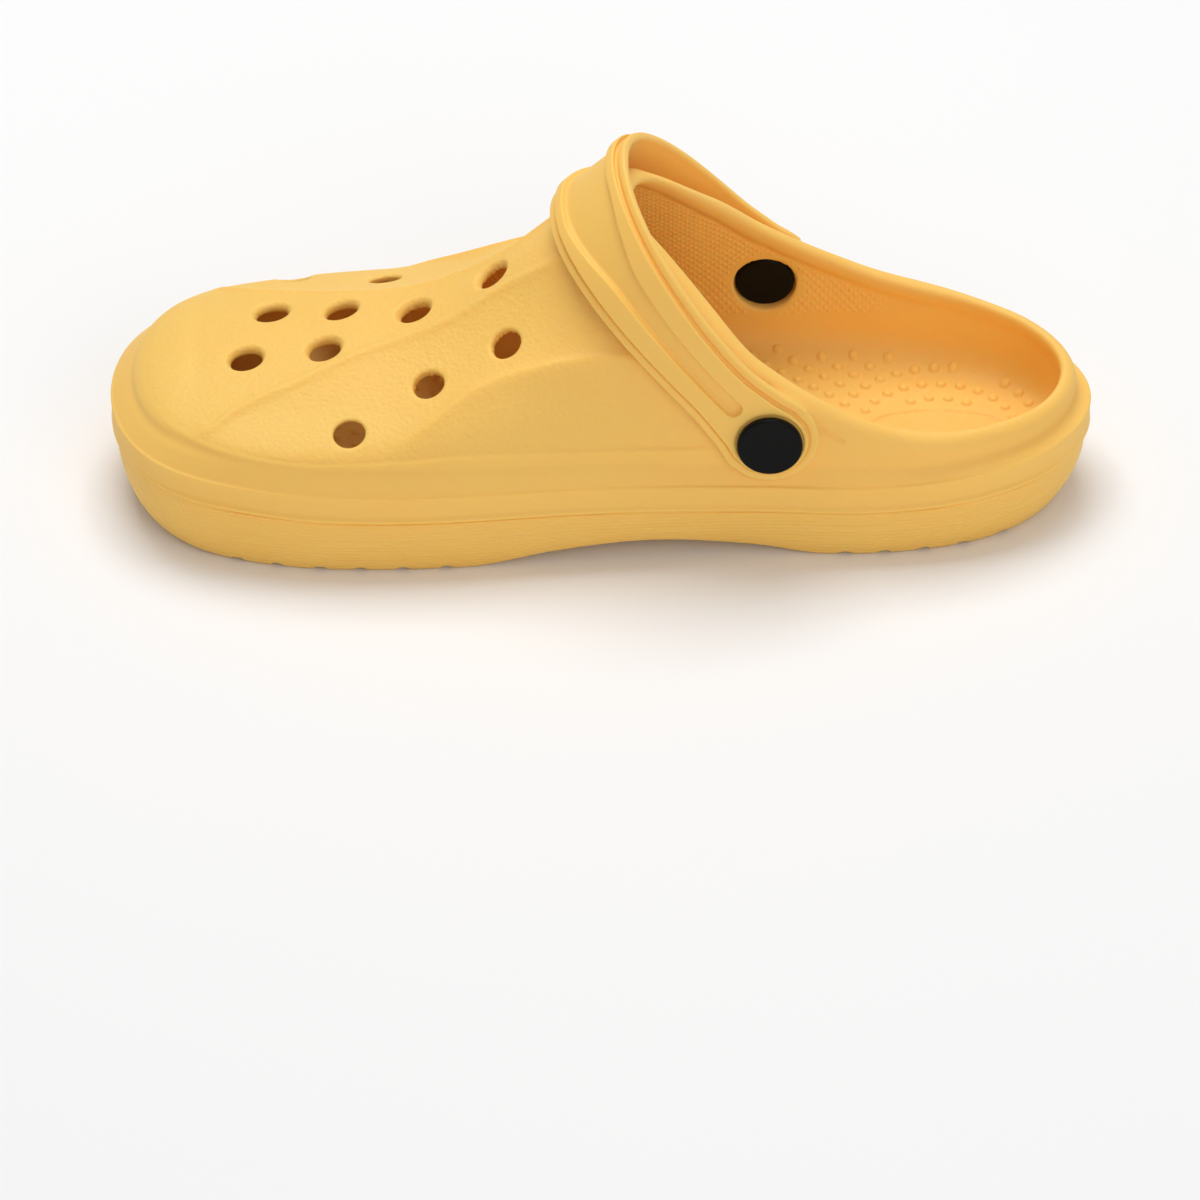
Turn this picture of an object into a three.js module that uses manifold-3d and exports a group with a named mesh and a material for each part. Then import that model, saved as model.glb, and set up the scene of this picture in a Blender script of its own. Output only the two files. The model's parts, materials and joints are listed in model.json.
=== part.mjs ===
// A left-foot garden clog in foamed EVA, heel strap folded forward over the instep.
// Millimetres. +X points to the toe, +Y to the outer (lateral) side of the foot, +Z up.
// The origin is on the ground under the middle of the clog's box.
import * as THREE from 'three';
import { LoftGeometry } from 'three/addons/geometries/LoftGeometry.js';
import { mergeVertices } from 'three/addons/utils/BufferGeometryUtils.js';
import Module from 'manifold-3d';

const wasm = await Module();
wasm.setup();

// ---- Driving dimensions -------------------------------------------------------------------------
const LENGTH = 275; // heel to toe, over the parting line
const HALF = LENGTH / 2;
const WIDEST = 51.5; // half width at the ball of the foot
const WALL = 3.8; // upper
const SIDE_WALL = 6.5; // sole side and band, beside the footbed
const GAP = 0.35; // running clearance between moving pieces

const PIVOT = { x: -46.4, z: 42 }; // strap hinge axis, which runs along Y
const SEAT_Y = 41; // flat seats on the clog's two sides, where the strap turns
const PAD_RADIUS = 13;
const RIVET = { disc: 9.05, inner: 8.4, head: 1.9, cap: 1.7, wall: 3.8, bearing: 4.6, shank: 3.5, peg: 1.9 };

const STRAP_THICK = 3.8;
const STRAP_REACH = 74.5; // hinge axis to the middle of the band's thickness at the top
const STRAP_LEAN = THREE.MathUtils.degToRad(42.3); // of the folded strap, forward of vertical
const BOSS_RADIUS = 13.5;
const ARM_STRAIGHT = 12; // the arms are straight this far from the hinge axis
const ARCH_POWER = 2.1; // of the superellipse the band follows from there over the instep

// Side view of the collar, from behind the heel to the front of the opening: [x, z].
const COLLAR = [[-150, 37], [-133, 37.6], [-120, 38.4], [-93, 41.3], [-73, 47.3], [-46, 63], [-32, 76],
  [-20, 87], [-10, 95], [-3, 101], [4, 110]];
// The outer side's rim is cut further forward and lower: shift per millimetre away from the middle.
const COLLAR_SKEW = { forward: 0.065, down: 0.045 };

const VENT_BORE = 9;
// Vent centres in plan: [x, y].
const VENTS = [[69.7, 41], [48.6, 29.1], [27.8, 25.4], [99.1, 9.4], [77.3, 10.2], [92.6, -12.5], [73, -7.5],
  [52.4, 1], [30.8, 0], [61.5, -32], [41.5, -15.5], [87, -43]];

const TREAD_GROOVE = { width: 2.4, depth: 1.4, at: [-112, -101, -90, -79, -68, 43, 55, 67, 78, 90, 101] };

// ---- Curves along the length --------------------------------------------------------------------
// A smooth curve through (x, value) knots, level beyond its ends.
function through(knots) {
  const slope = knots.map((_, i) => {
    const a = knots[Math.max(i - 1, 0)];
    const b = knots[Math.min(i + 1, knots.length - 1)];
    return (b[1] - a[1]) / (b[0] - a[0]);
  });
  return (x) => {
    if (x <= knots[0][0]) return knots[0][1];
    const i = knots.findIndex((k) => k[0] > x);
    if (i < 0) return knots[knots.length - 1][1];
    const [x0, y0] = knots[i - 1];
    const [x1, y1] = knots[i];
    const h = x1 - x0;
    const t = (x - x0) / h;
    const bend = t * t * (3 - 2 * t);
    const lift = t * (1 - t) * h * ((1 - t) * slope[i - 1] - t * slope[i]);
    return y0 * (1 - bend) + y1 * bend + lift;
  };
}

// Half widths of the plan outline before its ends are rounded, outer and inner side of the foot.
const lateral = through([[-137.5, 44], [-120, 46.5], [-75, 45], [-45, 43], [0, 45.5], [45, 50.5],
  [75, 53], [105, 55.5], [137.5, 64]]);
const medial = through([[-137.5, 44], [-120, 46], [-75, 43], [-45, 41], [0, 43.5], [45, 50], [75, 53],
  [105, 55.5], [137.5, 64]]);
const END_POWER = 4.2; // of the rounding of heel and toe in plan
const ends = (x) => Math.sqrt(1 - Math.pow(Math.min(1, Math.abs(x) / HALF), END_POWER));

// Signed half width at x of the outline drawn in by inset; side is +1 lateral, -1 medial.
function halfWidth(x, side, inset = 0) {
  const full = x / (1 - inset / HALF);
  const width = (side > 0 ? lateral(full) : medial(full)) * ends(full);
  return width * (1 - inset / WIDEST);
}

const soleCurve = through([[-137.5, 3], [-126, 0.6], [-112, 0], [-62, 0], [-40, 3.4], [-14, 5.6],
  [12, 3.6], [36, 0], [95, 0], [112, 0.8], [125, 3], [137.5, 6]]);
const soleBottom = (x) => Math.max(0, soleCurve(x));
const partingLine = through([[-137.5, 20], [-73, 17], [0, 18.5], [73, 19], [137.5, 22]]);
const bandTop = through([[-137.5, 30], [-73, 31], [0, 34], [73, 35.5], [115, 36], [137.5, 36]]);
const footbed = through([[-137.5, 17], [-90, 15.5], [-20, 20], [30, 16], [70, 14.5], [115, 17],
  [137.5, 20]]);
const crest = through([[-137.5, 92], [-40, 101], [-10, 99], [-3, 95.5], [8, 87], [19, 77.3], [30, 69],
  [42, 61.6], [55, 56.4], [70, 53.6], [88, 51.2], [137.5, 50.5]]);

// ---- The dome of the upper ----------------------------------------------------------------------
// Inset of the dome's foot, which stands on bandTop.
const domeInset = through([[-137.5, 4.6], [-95, 3], [60, 3], [105, 4], [137.5, 7]]);
const ROUNDNESS = 1.85; // power of the cross-section's superellipse
const TOE_CAP = 80; // length over which the toe comes down
const HEEL_CAP = 50;
const level = (curve, lift = 0) => (x) => curve(x) + lift;
const endRound = (q, power) => Math.pow(1 - Math.pow(Math.min(1, Math.max(0, q)), power), 1 / power);

// Height of the upper's surface over (x, y), drawn in by skin.
function domeTop(x, y, skin = 0) {
  const inset = domeInset(x * 1.04) + skin;
  const width = Math.max(halfWidth(x, Math.sign(y) || 1, inset), 0.01);
  const toe = endRound((x + TOE_CAP + domeInset(HALF) + skin - HALF) / TOE_CAP, 1.8);
  const heel = endRound((HEEL_CAP + domeInset(-HALF) + skin - HALF - x) / HEEL_CAP, 1.5);
  const rise = crest(x) - skin - bandTop(x);
  return bandTop(x) + rise * toe * heel * endRound(Math.abs(y) / width, ROUNDNESS);
}

// Outward unit normal of the upper over (x, y).
function domeNormal(x, y) {
  const step = 0.5;
  const dx = (domeTop(x + step, y) - domeTop(x - step, y)) / (2 * step);
  const dy = (domeTop(x, y + step) - domeTop(x, y - step)) / (2 * step);
  return new THREE.Vector3(-dx, -dy, 1).normalize();
}

// ---- Lofted solids ------------------------------------------------------------------------------
const AROUND = 72; // points round the plan outline
const SPINE = 0.86; // the rings close in on a spine this share of the length long

// One closed ring of the plan outline: drawn in by inset, then towards the spine to share of its width.
function ring(inset, share, height) {
  return Array.from({ length: AROUND }, (_, i) => {
    const turn = (2 * Math.PI * Math.min(i, AROUND - i)) / AROUND;
    const side = 2 * i <= AROUND ? 1 : -1;
    const inward = inset(HALF * Math.cos(turn));
    const full = (HALF - inward) * Math.cos(turn);
    const x = full * (SPINE + (1 - SPINE) * share);
    const y = side * halfWidth(full, side, inward) * share;
    return new THREE.Vector3(x, y, height(x, y));
  });
}

function solid(geometry) {
  const bare = new THREE.BufferGeometry();
  bare.setAttribute('position', geometry.getAttribute('position'));
  bare.setIndex(geometry.index);
  const merged = mergeVertices(bare, 1e-4);
  return new wasm.Manifold(new wasm.Mesh({
    numProp: 3,
    vertProperties: merged.attributes.position.array,
    triVerts: new Uint32Array(merged.index.array),
  }));
}

const DOME_SHARES = [0.985, 0.95, 0.89, 0.8, 0.68, 0.54, 0.38, 0.2, 0];
const flat = (inset) => () => inset;
const treadInset = through([[-137.5, 9], [-105, 5.5], [-60, 4.2], [60, 4.2], [110, 4.6], [137.5, 5.2]]);

function outerSolid() {
  return solid(new LoftGeometry([
    ring(treadInset, 0, level(soleBottom)),
    ring(treadInset, 0.6, level(soleBottom)),
    ring(treadInset, 1, level(soleBottom)),
    ring((x) => 0.5 * treadInset(x), 1, level(soleBottom, 3)),
    ring(flat(1.3), 1, level(partingLine, -0.6)),
    ring(flat(0), 1, level(partingLine, 0.4)),
    ring(flat(0.2), 1, level(partingLine, 5)),
    ring(flat(0.7), 1, level(partingLine, 8.6)),
    ring(level(domeInset, -0.6), 1, level(bandTop, -0.8)),
    ring(domeInset, 1, level(bandTop)),
    ...DOME_SHARES.map((share) => ring(domeInset, share, (x, y) => domeTop(x, y))),
  ]));
}

function footSpace() {
  const floor = (x, y) => footbed(x) + 3.2 * Math.pow(Math.abs(y) / 40, 3);
  const under = level(domeInset, WALL);
  return solid(new LoftGeometry([
    ring(flat(SIDE_WALL + 4), 0, floor),
    ring(flat(SIDE_WALL + 4), 0.6, floor),
    ring(flat(SIDE_WALL + 4), 1, floor),
    ring(flat(SIDE_WALL + 1), 1, level(footbed, 5)),
    ring(flat(SIDE_WALL), 1, level(footbed, 9)),
    ring(under, 1, level(bandTop)),
    ...DOME_SHARES.map((share) => ring(under, share, (x, y) => domeTop(x, y, WALL))),
  ]));
}

// Everything above the collar on one side of the middle; side is +1 lateral, -1 medial.
function collarCut(side) {
  const edge = new THREE.SplineCurve(COLLAR.map(([x, z]) => new THREE.Vector2(x, z)));
  const above = [new THREE.Vector2(4, 140), new THREE.Vector2(-150, 140)];
  const shape = new THREE.Shape([...edge.getPoints(36), ...above]);
  const block = new THREE.ExtrudeGeometry(shape, { depth: 70, bevelEnabled: false });
  block.rotateX(Math.PI / 2);
  if (side > 0) {
    block.translate(0, 70, 0);
    block.applyMatrix4(new THREE.Matrix4().makeShear(0, 0, COLLAR_SKEW.forward, -COLLAR_SKEW.down, 0, 0));
  }
  return solid(block);
}

// A turned solid: profile of [radius, distance along], standing at origin and pointing along axis.
function turned(profile, origin, axis, sides = 24) {
  const lathe = new THREE.LatheGeometry(profile.map(([r, h]) => new THREE.Vector2(r, h)), sides);
  lathe.applyQuaternion(new THREE.Quaternion().setFromUnitVectors(new THREE.Vector3(0, 1, 0), axis));
  lathe.translate(origin.x, origin.y, origin.z);
  return solid(lathe);
}

function vent([x, y]) {
  const mouth = new THREE.Vector3(x, y, domeTop(x, y));
  const radius = VENT_BORE / 2;
  return turned([[0, -12], [radius, -12], [radius, -1.6], [radius + 1.4, 0.8], [radius + 1.4, 4], [0, 4]],
    mouth, domeNormal(x, y), 14);
}

function treadGroove(x) {
  const groove = new THREE.BoxGeometry(TREAD_GROOVE.width, 140, 2 * TREAD_GROOVE.depth);
  groove.translate(x, 0, 0);
  return solid(groove);
}

// ---- Rivets -------------------------------------------------------------------------------------
const OUTWARD = { lateral: new THREE.Vector3(0, 1, 0), medial: new THREE.Vector3(0, -1, 0) };
const ON_AXIS = new THREE.Vector3(PIVOT.x, 0, PIVOT.z);

const STRAP_INNER = SEAT_Y + GAP;
const STRAP_OUTER = STRAP_INNER + STRAP_THICK;
const HEAD_FACE = STRAP_OUTER + GAP; // underside of the rivet's head
const CAP_SEAT = SEAT_Y - RIVET.wall; // floor of the recess in which the inner disc lies

// The rivet's outer half: domed head, bearing through the strap, shank through the wall, peg.
function stud(side) {
  const top = HEAD_FACE + RIVET.head;
  const profile = [[0, CAP_SEAT - 1], [RIVET.peg, CAP_SEAT - 1], [RIVET.peg, SEAT_Y - 1.6],
    [RIVET.shank, SEAT_Y - 1.6], [RIVET.shank, SEAT_Y + 0.1], [RIVET.bearing, SEAT_Y + 0.1],
    [RIVET.bearing, HEAD_FACE], [RIVET.disc, HEAD_FACE], [RIVET.disc, top - 0.9],
    [RIVET.disc - 0.7, top - 0.3], [0, top]];
  return turned(profile, ON_AXIS, OUTWARD[side], 30);
}

// The rivet's inner half: a disc lying in the wall's recess, its sleeve taking the peg.
function cap(side) {
  const face = CAP_SEAT - GAP;
  const inner = face - RIVET.cap;
  const bore = RIVET.peg + 0.3;
  const profile = [[0, inner], [RIVET.inner - 0.7, inner + 0.3], [RIVET.inner, inner + 0.9],
    [RIVET.inner, face], [RIVET.shank, face], [RIVET.shank, SEAT_Y - 1.9], [bore, SEAT_Y - 1.9],
    [bore, CAP_SEAT - 1.3], [0, CAP_SEAT - 1.3]];
  return turned(profile, ON_AXIS, OUTWARD[side], 30);
}

// Pad on the clog's side carrying the flat seat.
function seatPad(side) {
  const profile = [[0, CAP_SEAT - 2], [PAD_RADIUS, CAP_SEAT - 2], [PAD_RADIUS, SEAT_Y - 0.6],
    [PAD_RADIUS - 0.6, SEAT_Y], [0, SEAT_Y]];
  return turned(profile, ON_AXIS, OUTWARD[side], 32);
}

// What is taken out of the wall for the rivet: inner recess, hole, and clearance for the strap's boss.
function rivetBore(side) {
  const recess = RIVET.inner + 0.45;
  const hole = RIVET.shank + 0.3;
  const boss = BOSS_RADIUS + 0.6;
  const profile = [[0, 20], [recess, 20], [recess, CAP_SEAT], [hole, CAP_SEAT], [hole, SEAT_Y],
    [boss, SEAT_Y], [boss, 60], [0, 60]];
  return turned(profile, ON_AXIS, OUTWARD[side], 32);
}

function clogBody() {
  let body = outerSolid();
  for (const side of ['lateral', 'medial']) body = body.add(seatPad(side));
  body = body.subtract(footSpace()).subtract(collarCut(1)).subtract(collarCut(-1));
  for (const side of ['lateral', 'medial']) body = body.subtract(rivetBore(side));
  for (const place of VENTS) body = body.subtract(vent(place));
  for (const x of TREAD_GROOVE.at) body = body.subtract(treadGroove(x));
  return body;
}

// ---- Heel strap ---------------------------------------------------------------------------------
const strapWidth = through([[0, 27], [11, 23.6], [20, 21.6], [33, 21.9], [48, 23.6], [62, 25.6],
  [74, 28]]);
const grooveWidth = through([[0, 5], [35, 5], [50, 6], [60, 7.5], [68, 12], [74, 16]]);
const grooveDepth = through([[12.5, 0], [15, 1.2], [74, 1.3]]);

// Band section across the strap, where the middle of its thickness lies at [across, reach].
function bandSection(across, reach, out) {
  const w = strapWidth(reach) / 2;
  const g = grooveWidth(reach) / 2;
  const t = STRAP_THICK / 2;
  const dip = t - Math.max(grooveDepth(reach), 0.02);
  const band = [[w - 0.8, -t], [w, 0.8 - t], [w, t - 0.8], [w - 0.8, t], [g + 0.6, t], [g, dip],
    [-g, dip], [-g - 0.6, t], [0.8 - w, t], [-w, t - 0.8], [-w, 0.8 - t], [0.8 - w, -t]];
  return band.map(([s, n]) => new THREE.Vector3(s, across + n * out.x, reach + n * out.y));
}

const ARM = STRAP_INNER + STRAP_THICK / 2; // middle of an arm's thickness, from the clog's middle

// Section at an angle round the arch, 0 at the end of the lateral arm and PI at that of the medial one.
function archSection(angle) {
  const cos = Math.cos(angle);
  const sin = Math.max(Math.sin(angle), 0);
  const rise = STRAP_REACH - ARM_STRAIGHT;
  const fall = 2 - 2 / ARCH_POWER;
  const across = ARM * Math.sign(cos) * Math.pow(Math.abs(cos), 2 / ARCH_POWER);
  const reach = ARM_STRAIGHT + rise * Math.pow(sin, 2 / ARCH_POWER);
  const outward = Math.sign(cos) * Math.pow(Math.abs(cos), fall) / ARM;
  const out = new THREE.Vector2(outward, Math.pow(sin, fall) / rise).normalize();
  return bandSection(across, reach, out);
}

function heelStrap() {
  const arch = Array.from({ length: 37 }, (_, i) => archSection((Math.PI * i) / 36));
  const arm = (side) => [0, 4, 8].map((reach) => bandSection(side * ARM, reach, new THREE.Vector2(side, 0)));
  const sections = [...arm(1), ...arch, ...arm(-1).reverse()];
  let strap = solid(new LoftGeometry(sections, { capStart: true, capEnd: true }));
  for (const side of ['lateral', 'medial']) {
    strap = strap.add(turned([[0, STRAP_INNER], [BOSS_RADIUS, STRAP_INNER], [BOSS_RADIUS, STRAP_OUTER - 0.8],
      [BOSS_RADIUS - 0.8, STRAP_OUTER], [0, STRAP_OUTER]], new THREE.Vector3(), OUTWARD[side], 36));
  }
  for (const side of ['lateral', 'medial']) {
    strap = strap.subtract(turned([[0, 30], [RIVET.bearing + 0.3, 30], [RIVET.bearing + 0.3, 60], [0, 60]],
      new THREE.Vector3(), OUTWARD[side], 30));
  }
  return strap.rotate([0, THREE.MathUtils.radToDeg(STRAP_LEAN), 0]).translate([PIVOT.x, 0, PIVOT.z]);
}

// ---- Assembly -----------------------------------------------------------------------------------
function meshOf(name, manifold, material) {
  const { vertProperties, triVerts } = manifold.getMesh();
  const geometry = new THREE.BufferGeometry();
  geometry.setAttribute('position', new THREE.BufferAttribute(new Float32Array(vertProperties), 3));
  geometry.setIndex(new THREE.BufferAttribute(new Uint32Array(triVerts), 1));
  geometry.computeVertexNormals();
  const mesh = new THREE.Mesh(geometry, material);
  mesh.name = name;
  return mesh;
}

const foam = () => new THREE.MeshStandardMaterial({ color: 0xf4c468, roughness: 0.62, metalness: 0 });
const button = () => new THREE.MeshStandardMaterial({ color: 0x161616, roughness: 0.3, metalness: 0 });

const clog = new THREE.Group();
clog.name = 'garden_clog';
clog.add(meshOf('clog_body', clogBody(), foam()));
clog.add(meshOf('heel_strap', heelStrap(), foam()));
clog.add(meshOf('rivet_stud_lateral', stud('lateral'), button()));
clog.add(meshOf('rivet_stud_medial', stud('medial'), button()));
clog.add(meshOf('rivet_cap_lateral', cap('lateral'), button()));
clog.add(meshOf('rivet_cap_medial', cap('medial'), button()));
export default clog;
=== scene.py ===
"""A left-foot garden clog in yellow moulded foam: body, heel strap and two black rivets.

Body and strap are smooth solids described by signed fields in millimetres (negative inside). Each field is
sampled on a grid, turned into a mesh, and the mesh is then drawn onto the field's exact surface.
"""

import json
import math

import bpy
import numpy as np
import openvdb
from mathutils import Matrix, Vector


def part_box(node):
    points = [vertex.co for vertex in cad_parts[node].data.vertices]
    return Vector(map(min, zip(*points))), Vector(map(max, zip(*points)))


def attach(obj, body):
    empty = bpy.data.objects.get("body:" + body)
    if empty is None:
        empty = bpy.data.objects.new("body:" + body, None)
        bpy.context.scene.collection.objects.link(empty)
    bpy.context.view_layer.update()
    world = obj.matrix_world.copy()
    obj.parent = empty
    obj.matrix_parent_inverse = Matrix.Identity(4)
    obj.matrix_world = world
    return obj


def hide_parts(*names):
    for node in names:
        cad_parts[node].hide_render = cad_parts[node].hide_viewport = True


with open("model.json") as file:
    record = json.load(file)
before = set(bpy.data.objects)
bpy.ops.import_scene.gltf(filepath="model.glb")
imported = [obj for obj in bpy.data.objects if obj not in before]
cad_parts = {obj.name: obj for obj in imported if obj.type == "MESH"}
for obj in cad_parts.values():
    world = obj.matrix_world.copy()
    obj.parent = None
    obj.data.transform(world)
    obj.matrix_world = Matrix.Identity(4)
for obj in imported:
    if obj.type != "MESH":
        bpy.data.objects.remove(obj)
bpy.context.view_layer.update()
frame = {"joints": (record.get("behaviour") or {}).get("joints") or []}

MM = 0.001
body_lo, body_hi = (np.array(c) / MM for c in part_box("clog_body"))
HALF = (body_hi[0] - body_lo[0]) / 2
hinge = frame["joints"][0]["pos_m"]
PIVOT_X, PIVOT_Z = hinge[0] / MM, hinge[2] / MM
stud_lo, stud_hi = (np.array(c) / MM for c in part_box("rivet_stud_lateral"))
cap_lo, cap_hi = (np.array(c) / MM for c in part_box("rivet_cap_lateral"))
DISC = (stud_hi[2] - stud_lo[2]) / 2  # radius of the rivet's outer button
INNER_DISC = (cap_hi[2] - cap_lo[2]) / 2
strap_hi = np.array(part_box("heel_strap")[1]) / MM

# All lengths from here on are in millimetres, and an angle is in radians.
WALL = 3.8
GAP = 0.35  # running gap between one piece and the next
STRAP_THICK = 3.8
STRAP_OUTER = strap_hi[1]
STRAP_INNER = STRAP_OUTER - STRAP_THICK
SEAT_Y = STRAP_INNER - GAP  # the flat on the body that a boss lies on
CAP_SEAT = SEAT_Y - WALL
BOSS_RADIUS = 13.5
CAP_TILT = math.radians(8)  # the inner discs lie in the wall, which leans inwards
STRAP_REACH = 74.5  # from the hinge to the middle of the arch
STRAP_LEAN = math.radians(42.3)  # how far the folded strap leans forward of upright
ARM_STRAIGHT = 12  # where the arch starts, from the hinge
ARCH_POWER = 2.1  # 2 would be an ellipse, more is squarer

WIDEST = 51.5  # half width across the ball of the foot
END_POWER = 4.2  # 2 would be an ellipse in plan, more is squarer
DOME_POWER = 1.85  # the same for the upper's arch
TOE_LENGTH = 80  # over which the crest comes down to the band at the toe
TOE_POWER = 1.8
HEEL_LENGTH = 50
HEEL_POWER = 1.5
COLLAR_FORWARD = 0.065  # how far the outer rim moves forward and down, per millimetre from the middle
COLLAR_DOWN = 0.045
VENT_RADIUS = 4.45
VENT_FLARE = 0.75  # the vents' mouths are wider by this
VENTS = [(69.7, 41), (48.6, 29.1), (27.8, 25.4), (99.1, 9.4), (77.3, 10.2), (92.6, -12.5), (73, -7.5),
         (52.4, 1), (30.8, 0), (61.5, -32), (41.5, -15.5), (87, -43)]
TREAD = [-112, -101, -90, -79, -68, 43, 55, 67, 78, 90, 101]
TREAD_HALF = 1.2  # half width of a tread groove
TREAD_DEPTH = 1.4
HEEL = (-95.0, 0.0)  # middle of the smooth oval in the footbed
NUB_RADIUS = 1.5
NUB_HEIGHT = 1.1
NUB_REACH = 3.0  # nubs further away than this don't matter to a point
KNURL_PITCH = 2.4
KNURL_HEIGHT = 0.3
FLANGE = 3.0  # width of the strap's lower edge strip
FLANGE_DROP = 1.3
GROOVE_DEPTH = 1.7  # of the groove along the strap's middle


# ---- Curves ----------------------------------------------------------------------------------------
TABLE_SPAN = 180.0
TABLE_STEP = 0.1


def tabled(curve):
    """The same function of x read from a fine table, which is quicker on large arrays."""
    table = np.asarray(curve(np.arange(-TABLE_SPAN, TABLE_SPAN + TABLE_STEP, TABLE_STEP)), float)
    rise = np.diff(table)

    def lookup(x):
        place = np.clip((np.asarray(x, float) + TABLE_SPAN) / TABLE_STEP, 0, len(rise) - 1e-6)
        i = place.astype(np.int64)
        return table[i] + rise[i] * (place - i)

    return lookup


def through(knots):
    """A smooth curve through (x, value) knots, level beyond its ends."""
    k = np.array(knots, float)
    ends = np.vstack([k[:1], k, k[-1:]])
    slope = (ends[2:, 1] - ends[:-2, 1]) / (ends[2:, 0] - ends[:-2, 0])

    def curve(x):
        i = np.clip(np.searchsorted(k[:, 0], x, side="right") - 1, 0, len(k) - 2)
        h = k[i + 1, 0] - k[i, 0]
        t = np.clip((x - k[i, 0]) / h, 0, 1)
        bend = t * t * (3 - 2 * t)
        lift = t * (1 - t) * h * ((1 - t) * slope[i] - t * slope[i + 1])
        return k[i, 1] * (1 - bend) + k[i + 1, 1] * bend + lift

    return tabled(curve)


def ramp(x, a, b):
    """0 before a, 1 after b, smooth between."""
    t = np.clip((x - a) / (b - a), 0, 1)
    return t * t * (3 - 2 * t)


def bump(x, centre, width):
    """1 at the centre, falling smoothly to 0 on both sides."""
    return np.exp(-(((x - centre) / width) ** 2))


def soft_min(a, b, k):
    """The smaller of a and b, with the edge between them rounded over a width of k."""
    h = np.maximum(k - np.abs(a - b), 0) / k
    return np.minimum(a, b) - h * h * k / 4


def soft_max(a, b, k):
    """The larger of a and b, with the edge between them rounded over a width of k."""
    return -soft_min(-a, -b, k)


lateral = through([(-137.5, 44), (-120, 46.5), (-75, 45), (-45, 43), (0, 45.5), (45, 50.5), (75, 53),
                   (105, 55.5), (137.5, 64)])
medial = through([(-137.5, 44), (-120, 46), (-75, 43), (-45, 41), (0, 43.5), (45, 50), (75, 53), (105, 55.5),
                  (137.5, 64)])
tread_inset = through([(-137.5, 9), (-105, 5.5), (-60, 4.2), (60, 4.2), (110, 4.6), (137.5, 5.2)])
sole_curve = through([(-137.5, 3), (-126, 0.6), (-112, 0), (-62, 0), (-40, 3.4), (-14, 5.6), (12, 3.6),
                      (36, 0), (95, 0), (112, 0.8), (125, 3), (137.5, 6)])
parting = through([(-137.5, 20), (-73, 17), (0, 18.5), (73, 19), (137.5, 22)])
band_top = through([(-137.5, 30), (-73, 31), (0, 34), (73, 35.5), (115, 36), (137.5, 36)])
footbed = through([(-137.5, 17), (-90, 15.5), (-20, 20), (30, 16), (70, 14.5), (115, 17), (137.5, 20)])
crest = through([(-137.5, 92), (-40, 101), (-10, 99), (-3, 95.5), (8, 87), (19, 77.3), (30, 69), (42, 61.6),
                 (55, 56.4), (70, 53.6), (88, 51.2), (137.5, 50.5)])
dome_inset = through([(-137.5, 4.6), (-95, 3), (60, 3), (105, 4), (137.5, 7)])
ridge_in = through([(-20, 13.5), (13.5, 11.9), (25, 9.6), (35, 10.2), (55, 13.1), (67, 15.8), (88, 24.5),
                    (100, 30), (108, 36)])
ridge_out = through([(-45, 37.4), (-13, 36.6), (5, 35.6), (20, 34.6), (29, 34.6), (37, 35.8), (44, 39.2),
                     (52, 43.4), (60, 49), (75, 56)])
grain_edge = through([(-60, 36.8), (0, 37.4), (37, 37.8), (54, 36.8), (83, 35.5), (100, 36.2), (112, 37.4),
                      (132, 40)])


def sole_bottom(x):
    """Height of the tread over the floor."""
    return np.maximum(0, sole_curve(x))


def outline(x, y):
    """Signed distance to the plan outline at the parting line, about."""
    width = np.where(y >= 0, lateral(x), medial(x))
    u = np.abs(y) / width
    v = np.minimum(np.abs(x) / HALF, 1.3)
    r = np.sqrt(u**2 + v**END_POWER) + 1e-6
    gx = END_POWER * v ** (END_POWER - 1) / HALF / (2 * r)
    gy = u / width / r
    return (r - 1) / np.sqrt(gx**2 + gy**2 + 1e-6)


def half_width(x, side, inset):
    """Half width at x of the plan outline drawn in by inset."""
    full = x / (1 - inset / HALF)
    ends = np.sqrt(np.maximum(0, 1 - np.minimum(1, np.abs(full) / HALF) ** END_POWER))
    return np.where(side >= 0, lateral(full), medial(full)) * ends * (1 - inset / WIDEST)


def end_round(q, power):
    """A rounded end: 1 up to q = 0, down to 0 at q = 1."""
    return np.maximum(0, 1 - np.clip(q, 0, 1) ** power) ** (1 / power)


def section(skin, side):
    """Functions of x for the upper's arched section: height above band_top, half width, and their slopes."""
    def inset(x):
        return dome_inset(x * 1.04) + skin

    def rise(x):
        toe = end_round((x + TOE_LENGTH + dome_inset(HALF) + skin - HALF) / TOE_LENGTH, TOE_POWER)
        heel = end_round((HEEL_LENGTH + dome_inset(-HALF) + skin - HALF - x) / HEEL_LENGTH, HEEL_POWER)
        return np.maximum((crest(x) - skin - band_top(x)) * toe * heel, 0.15)

    def width(x):
        return np.maximum(half_width(x, side, inset(x)), 0.15)

    tables = [tabled(rise), tabled(width)]
    for curve in (rise, width):
        tables.append(tabled(lambda x, curve=curve: (curve(x + 0.5) - curve(x - 0.5))))
    return tables


SECTIONS = {(skin, side): section(skin, side) for skin in (0, WALL / 2, WALL) for side in (-1, 1)}


def dome_sizes(x, y, skin):
    """Height, half width and their slopes along x at each point."""
    left, right = SECTIONS[skin, 1], SECTIONS[skin, -1]
    sizes = [left[0](x), np.where(y >= 0, left[1](x), right[1](x)), left[2](x),
             np.where(y >= 0, left[3](x), right[3](x))]
    return sizes


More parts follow.
